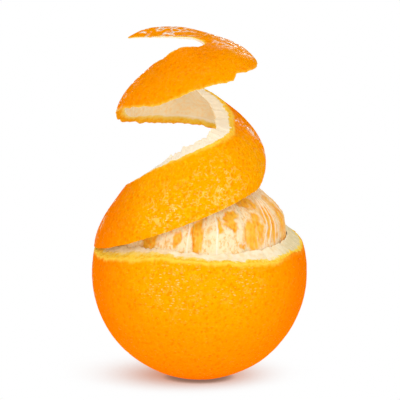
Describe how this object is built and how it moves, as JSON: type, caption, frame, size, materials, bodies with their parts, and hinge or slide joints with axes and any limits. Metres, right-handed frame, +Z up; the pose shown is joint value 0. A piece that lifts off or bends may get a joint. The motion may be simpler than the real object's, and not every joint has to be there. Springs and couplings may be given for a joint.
{
  "type": "half-peeled orange",
  "caption": "Orange whose peel was cut in one long spiral and lifted off in a standing coil that ends in its cap, while the lower peel still cups the fruit.",
  "frame": {"origin": "centre of the small flat spot under the orange, on the surface that it stands on", "axes": "+Z up through the orange's middle and its coil of peel; -Y towards the side where the fruit shows under the first turn; +X to that side's right"},
  "size_m": [0.0799, 0.08, 0.129],
  "materials": {
    "zest": "waxy orange zest with fine oil-gland pits, cream pith on its inner side and cut edges",
    "membrane": "moist segment skin, amber pulp behind patches and strands of white pith",
    "pith": "matt, spongy, cream white"
  },
  "bodies": {
    "root": {"orange_peel": "zest", "segment_01": "membrane", "segment_02": "membrane", "segment_03": "membrane", "segment_04": "membrane", "segment_05": "membrane", "segment_06": "membrane", "segment_07": "membrane", "segment_08": "membrane", "segment_09": "membrane", "segment_10": "membrane", "core": "pith"}
  },
  "joints": []
}
